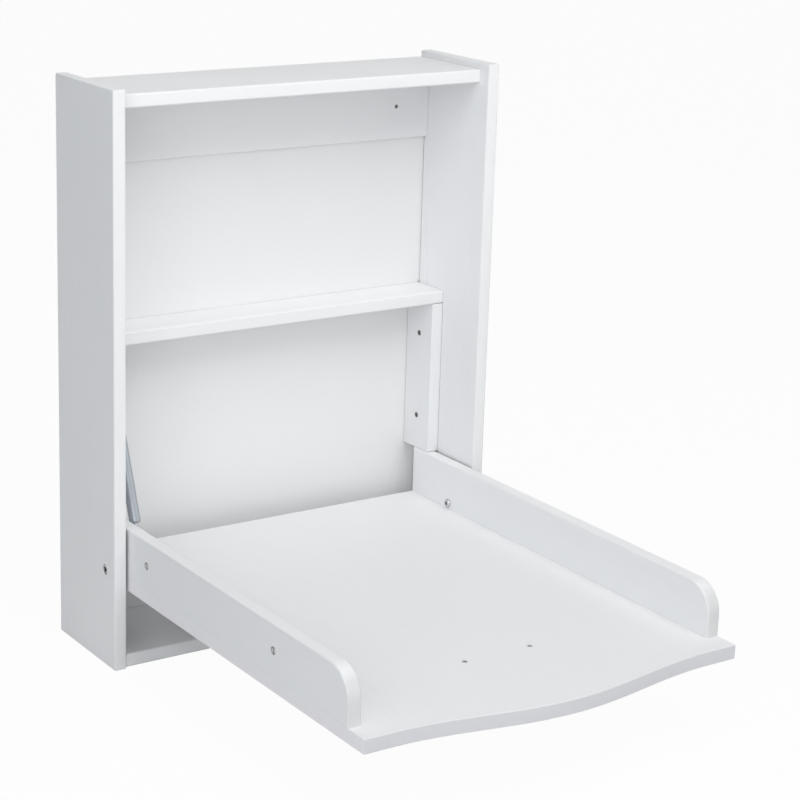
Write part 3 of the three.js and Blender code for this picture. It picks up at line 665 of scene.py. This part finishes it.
def cross_recess(body, face, depth=CROSS_DEPTH, span=CROSS_SPAN, width=CROSS_WIDTH):
    for outline in (slot_outline(span, width), slot_outline(width, span)):
        carve(body, prism(outline, face - depth, face + OVERCUT))
    return body


def turned_mesh(tool, axis, origin=Vector()):
    """The tool with its own axis laid along another, from another origin."""
    tool.data.transform(axis.to_track_quat("Z", "Y").to_matrix().to_4x4())
    tool.data.transform(Matrix.Translation(origin * MM))
    return tool


def fit(piece, node, origin, axis, side):
    """Puts a fitting in its place, in metres, and lets it stand for the node."""
    piece.name = f"{node}_fitting"
    turn = Matrix((side, axis.cross(side), axis)).transposed().to_4x4()
    piece.matrix_world = Matrix.Translation(origin) @ turn
    shade(piece, node)
    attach(piece, body_of[node])
    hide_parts(node)


def middle(node):
    low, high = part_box(node)
    return (low + high) / 2


# Pivots, with the places along the pivot's axis in metres
SIDE_OUTER_X = 0.29
RAIL_INNER_X = 0.251
PIVOT_SCREW_SEAT_X = 0.2507
SLEEVE_RADIUS = 4.0
SLEEVE_LENGTH = 39.0
SLEEVE_HEAD_RADIUS = 6.75
SLEEVE_HEAD_DEPTH = 6.0
SLEEVE_RIM_SINK = 2.4
SLEEVE_DOME_RADIUS = 5.6
SLEEVE_DOME_SINK = 1.2
SLEEVE_CROWN_RADIUS = 4.7
SLEEVE_CROWN_SINK = 0.6
SLEEVE_BORE_RADIUS = 2.8
SLEEVE_BORE_DEPTH = 24.6
SLEEVE_KEY = 7.5
SLEEVE_KEY_DEPTH = 5.0
PIVOT_SCREW_RADIUS = 2.5
PIVOT_SCREW_LENGTH = 24.0
PIVOT_SCREW_HEAD_RADIUS = 6.0
PIVOT_SCREW_RIM = 1.2
PIVOT_SCREW_CROWN_RADIUS = 4.3
PIVOT_SCREW_CROWN = 2.6
PIVOT_SCREW_EASE = 0.7
PIVOT_SCREW_KEY = 5.0
BUSH_BORE_RADIUS = 4.3
BUSH_RADIUS = 5.5
BUSH_FLANGE_RADIUS = 10.0
BUSH_FLANGE_START = 18.0
BUSH_FLANGE_END = 20.7


def pivot_sleeve():
    bore_end = SLEEVE_BORE_DEPTH - SLEEVE_LENGTH
    body = lathe([
        (0, -SLEEVE_CROWN_SINK),
        (SLEEVE_CROWN_RADIUS, -SLEEVE_CROWN_SINK),
        (SLEEVE_DOME_RADIUS, -SLEEVE_DOME_SINK),
        (SLEEVE_HEAD_RADIUS, -SLEEVE_RIM_SINK),
        (SLEEVE_HEAD_RADIUS, -SLEEVE_HEAD_DEPTH),
        (SLEEVE_RADIUS, -SLEEVE_HEAD_DEPTH),
        (SLEEVE_RADIUS, -SLEEVE_LENGTH),
        (SLEEVE_BORE_RADIUS, -SLEEVE_LENGTH),
        (SLEEVE_BORE_RADIUS, bore_end),
        (0, bore_end),
    ])
    return hex_socket(body, -SLEEVE_CROWN_SINK, SLEEVE_KEY, SLEEVE_KEY_DEPTH)


def pivot_screw():
    body = lathe([
        (0, -PIVOT_SCREW_LENGTH),
        (PIVOT_SCREW_RADIUS, -PIVOT_SCREW_LENGTH),
        (PIVOT_SCREW_RADIUS, 0),
        (PIVOT_SCREW_HEAD_RADIUS, 0),
        (PIVOT_SCREW_HEAD_RADIUS, PIVOT_SCREW_RIM),
        (PIVOT_SCREW_CROWN_RADIUS, PIVOT_SCREW_CROWN),
        (0, PIVOT_SCREW_CROWN),
    ], ease=PIVOT_SCREW_EASE)
    return hex_socket(body, PIVOT_SCREW_CROWN, PIVOT_SCREW_KEY)


def pivot_bush():
    return lathe([
        (BUSH_BORE_RADIUS, FIT_GAP),
        (BUSH_RADIUS, FIT_GAP),
        (BUSH_RADIUS, BUSH_FLANGE_START),
        (BUSH_FLANGE_RADIUS, BUSH_FLANGE_START),
        (BUSH_FLANGE_RADIUS, BUSH_FLANGE_END),
        (BUSH_BORE_RADIUS, BUSH_FLANGE_END),
    ], ring=True)


def make_pivots():
    pivot = joint_place["tray_fold"]
    for name, outward in OUTWARD.items():
        fit(pivot_sleeve(), f"{name}_pivot_sleeve", pivot + outward * SIDE_OUTER_X, outward, UP)
        fit(pivot_screw(), f"{name}_pivot_screw", pivot + outward * PIVOT_SCREW_SEAT_X, -outward, UP)
        fit(pivot_bush(), f"{name}_pivot_bush", pivot + outward * RAIL_INNER_X, outward, UP)


# Fasteners of the rails, the battens, the handle and the panels
NUT_RADIUS = 5.0
NUT_LENGTH = 13.0
NUT_SLOT = 1.4
NUT_SLOT_SPAN = 15.0
NUT_NECK_RADIUS = 3.5
NUT_NECK = 4.4
NUT_HOLE_RADIUS = 3.3
NUT_HOLE_DEPTH = 8.4
BOLT_HEAD_RADIUS = 6.5
BOLT_HEAD_HEIGHT = 4.0
BOLT_RADIUS = 3.0
BOLT_LENGTH = 55.0
BOLT_KEY = 5.0
SCREW_RADIUS = 2.0
SCREW_HEAD_RADIUS = 4.0
SCREW_EASE = 0.15
HANDLE_SCREW_LENGTH = 29.0
BATTEN_SCREW_LENGTH = 28.0
CAM_RADIUS = 7.5
CAM_DEPTH = 12.5
CAM_EASE = 0.5
CAM_BOLT_DEPTH = 9.0
CAM_BOLT_RADIUS = 3.3
CAM_RECESS_DEPTH = 3.0
CAM_RECESS_SPAN = 9.0
CAM_RECESS_WIDTH = 1.8


def barrel_nut():
    body = lathe([
        (0, -NUT_LENGTH),
        (NUT_RADIUS, -NUT_LENGTH),
        (NUT_RADIUS, -NUT_NECK),
        (NUT_NECK_RADIUS, -NUT_NECK),
        (NUT_NECK_RADIUS, 0),
        (0, 0),
    ])
    carve(body, prism(slot_outline(NUT_SLOT_SPAN, NUT_SLOT), -NUT_SLOT, OVERCUT))
    reach = 2 * NUT_RADIUS
    hole = round_bar(NUT_HOLE_RADIUS, -reach, reach, ease=0)
    return carve(body, turned_mesh(hole, ACROSS, UP * -NUT_HOLE_DEPTH))


def rail_bolt():
    body = lathe([
        (0, -BOLT_LENGTH),
        (BOLT_RADIUS, -BOLT_LENGTH),
        (BOLT_RADIUS, -BOLT_HEAD_HEIGHT),
        (BOLT_HEAD_RADIUS, -BOLT_HEAD_HEIGHT),
        (BOLT_HEAD_RADIUS, 0),
        (0, 0),
    ])
    return hex_socket(body, 0, BOLT_KEY)


def countersunk_screw(length):
    body = lathe([
        (0, -length),
        (SCREW_RADIUS, -length),
        (SCREW_RADIUS, SCREW_RADIUS - SCREW_HEAD_RADIUS),
        (SCREW_HEAD_RADIUS, 0),
        (0, 0),
    ], ease=SCREW_EASE)
    return cross_recess(body, 0)


def cam_disc():
    body = round_bar(CAM_RADIUS, -CAM_DEPTH, 0, CAM_EASE)
    cross_recess(body, 0, CAM_RECESS_DEPTH, CAM_RECESS_SPAN, CAM_RECESS_WIDTH)
    room = round_bar(CAM_BOLT_RADIUS, 0, 2 * CAM_RADIUS, ease=0)
    return carve(body, turned_mesh(room, ACROSS, UP * -CAM_BOLT_DEPTH))


def make_fasteners():
    for name, outward in OUTWARD.items():
        for end in ("rear", "front"):
            node = f"{name}_barrel_nut_{end}"
            fit(barrel_nut(), node, middle(node) + outward * NUT_LENGTH * MM / 2, outward, UP)
            node = f"{name}_rail_bolt_{end}"
            fit(rail_bolt(), node, middle(node) - UP * BOLT_LENGTH * MM / 2, -UP, outward)
        for level in ("lower", "upper"):
            node = f"{name}_batten_screw_{level}"
            origin = middle(node) - outward * BATTEN_SCREW_LENGTH * MM / 2
            fit(countersunk_screw(BATTEN_SCREW_LENGTH), node, origin, -outward, UP)
        node = f"{name}_handle_screw"
        origin = middle(node) + UP * HANDLE_SCREW_LENGTH * MM / 2
        fit(countersunk_screw(HANDLE_SCREW_LENGTH), node, origin, UP, outward)
        for panel in ("top", "bottom"):
            node = f"{panel}_{name}_cam_disc"
            fit(cam_disc(), node, middle(node) - UP * CAM_DEPTH * MM / 2, -UP, outward)


# Handle: a bent tube under the tray board
HANDLE_RADIUS = 5.0
HANDLE_HALF_SPACING = 48.0
HANDLE_STANDOFF = 28.0
HANDLE_BEND = 14.0
HANDLE_BEND_STEPS = 14


def handle_path():
    """The tube's middle line from foot to foot, with the feet at height 0."""
    foot = Vector((-HANDLE_HALF_SPACING, 0, 0))
    corner = foot - UP * HANDLE_STANDOFF
    leg_end = corner + UP * HANDLE_BEND
    bar_start = corner + ACROSS * HANDLE_BEND
    path = [foot]
    for step in range(HANDLE_BEND_STEPS + 1):
        share = step / HANDLE_BEND_STEPS
        path.append(leg_end.lerp(corner, share).lerp(corner.lerp(bar_start, share), share))
    return path + [Vector((-point.x, 0, point.z)) for point in reversed(path)]


def make_handle():
    path = handle_path()
    last = len(path) - 1
    work = bmesh.new()
    rings = []
    for index, point in enumerate(path):
        along = (path[min(index + 1, last)] - path[max(index - 1, 0)]).normalized()
        rings.append(circle(work, HANDLE_RADIUS, point, REARWARD, along.cross(REARWARD)))
    for first, second in zip(rings, rings[1:]):
        skin(work, first, second)
    for end in (rings[0], rings[-1]):
        work.faces.new(end)
    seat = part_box("handle")[1].z
    origin = Vector((0, middle("handle").y, seat))
    fit(solid_object("tube", work), "handle", origin, UP, ACROSS)


# Gas strut: drawn along the strut, from the upper ball down or from the lower ball up
STUD_BITE = 11.0
STUD_NECK_RADIUS = 2.5
STUD_BASE_RADIUS = 6.0
STUD_BASE_HEIGHT = 2.4
BALL_RADIUS = 4.0
BALL_STEPS = 18
CUP_RADIUS = 6.3
CUP_WALL = 1.8
CUP_EASE = 1.0
SHANK_RADIUS = 4.5
SHANK_REACH = 22.0
SHANK_EASE = 0.6
NIPPLE_RADIUS = 2.5
NIPPLE_LENGTH = 8.0
TUBE_RADIUS = 7.5
TUBE_WALL = 1.0
TUBE_HEAD = 10.0
TUBE_RIM = 1.2
TUBE_LIP_RADIUS = 4.6
TUBE_ROLL = 2.6
TUBE_ROLL_STEPS = 8
TUBE_EASE = 1.0
ROD_RADIUS = 3.0
ROD_SLACK = 0.9
ROD_SHOWING = 19.0
ROD_EASE = 0.4
GUIDE_SINK = 0.8
GUIDE_LENGTH = 12.0

# Faces that the ball studs stand on, in metres
STUD_FACES = {"upper": -0.254, "lower": -0.251}


def ball_stud(ball_height):
    profile = [
        (0, -STUD_BITE),
        (STUD_NECK_RADIUS, -STUD_BITE),
        (STUD_NECK_RADIUS, 0),
        (STUD_BASE_RADIUS, 0),
        (STUD_BASE_RADIUS, STUD_BASE_HEIGHT),
        (STUD_NECK_RADIUS, STUD_BASE_HEIGHT),
    ]
    start = -math.acos(STUD_NECK_RADIUS / BALL_RADIUS)
    for step in range(BALL_STEPS):
        angle = start + (math.pi / 2 - start) * step / BALL_STEPS
        profile.append((BALL_RADIUS * math.cos(angle), ball_height + BALL_RADIUS * math.sin(angle)))
    return lathe(profile + [(0, ball_height + BALL_RADIUS)])


def ball_socket(bore_radius):
    """A cup across the strut, open on the left, with a shank along it."""
    room_radius = BALL_RADIUS + FIT_GAP
    cup = round_bar(CUP_RADIUS, -room_radius, room_radius + CUP_WALL, CUP_EASE)
    shank = round_bar(SHANK_RADIUS, 0, SHANK_REACH, SHANK_EASE)
    body = carve(turned_mesh(cup, ACROSS), shank, "UNION")
    mouth = -2 * CUP_RADIUS
    room = [(0, mouth), (room_radius, mouth), (room_radius, 0)]
    for step in range(1, BALL_STEPS):
        angle = math.pi / 2 * step / BALL_STEPS
        room.append((room_radius * math.cos(angle), room_radius * math.sin(angle)))
    carve(body, turned_mesh(lathe(room + [(0, room_radius)], ease=0), ACROSS))
    bore_end = SHANK_REACH - NIPPLE_LENGTH - FIT_GAP
    return carve(body, round_bar(bore_radius + FIT_GAP, bore_end, SHANK_REACH + OVERCUT, ease=0))


def strut_tube(top, mouth):
    """A tube closed by a head with a nipple, its mouth rolled in over the rod's guide."""
    bore = TUBE_RADIUS - TUBE_WALL
    ceiling = top - TUBE_HEAD
    lip = mouth + GUIDE_SINK - FIT_GAP
    profile = [
        (0, ceiling),
        (bore, ceiling),
        (bore, lip),
        (TUBE_LIP_RADIUS, lip),
        (TUBE_LIP_RADIUS, mouth),
    ]
    for step in range(TUBE_ROLL_STEPS + 1):
        turn = math.pi / 2 * step / TUBE_ROLL_STEPS
        across = TUBE_RADIUS - TUBE_ROLL * (1 - math.sin(turn))
        profile.append((across, mouth + TUBE_ROLL * (1 - math.cos(turn))))
    profile += [
        (TUBE_RADIUS, top - TUBE_RIM),
        (TUBE_RADIUS - TUBE_RIM, top),
        (NIPPLE_RADIUS, top),
        (NIPPLE_RADIUS, top + NIPPLE_LENGTH),
        (0, top + NIPPLE_LENGTH),
    ]
    return lathe(profile, ease=TUBE_EASE)


def rod_guide(low):
    outer = TUBE_RADIUS - TUBE_WALL - FIT_GAP
    inner = ROD_RADIUS + ROD_SLACK
    high = low + GUIDE_LENGTH
    return lathe([(inner, low), (outer, low), (outer, high), (inner, high)], ring=True)


def rod_length(up):
    """The rod's length from the height of its box, less what its lean adds at the round ends."""
    low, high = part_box("strut_rod")
    lean = math.sqrt(1 - up.z * up.z)
    return ((high.z - low.z) / MM - 2 * ROD_RADIUS * lean) / up.z


def make_strut():
    upper, lower = joint_place["cylinder_swing"], joint_place["rod_swing"]
    up = (upper - lower).normalized()
    length = (upper - lower).length / MM
    for level, ball in (("upper", upper), ("lower", lower)):
        face = Vector((STUD_FACES[level], ball.y, ball.z))
        fit(ball_stud((ball.x - face.x) / MM), f"{level}_ball_stud", face, ACROSS, UP)
    mouth = SHANK_REACH + ROD_SHOWING - length
    fit(strut_tube(-SHANK_REACH - FIT_GAP, mouth), "strut_tube", upper, up, ACROSS)
    fit(rod_guide(mouth + GUIDE_SINK), "strut_rod_guide", upper, up, ACROSS)
    fit(ball_socket(NIPPLE_RADIUS), "strut_upper_socket", upper, -up, ACROSS)
    fit(ball_socket(ROD_RADIUS), "strut_lower_socket", lower, up, ACROSS)
    foot = SHANK_REACH - NIPPLE_LENGTH
    fit(round_bar(ROD_RADIUS, foot, foot + rod_length(up), ROD_EASE), "strut_rod", lower, up, ACROSS)


smooth_edges = smooth_group()
make_pivots()
make_fasteners()
make_handle()
make_strut()
for name, solid in nodes.items():
    shade(solid, name)
make_camera()
make_world()
make_floor()
for name, lamp in LAMPS.items():
    make_lamp(name, **lamp)
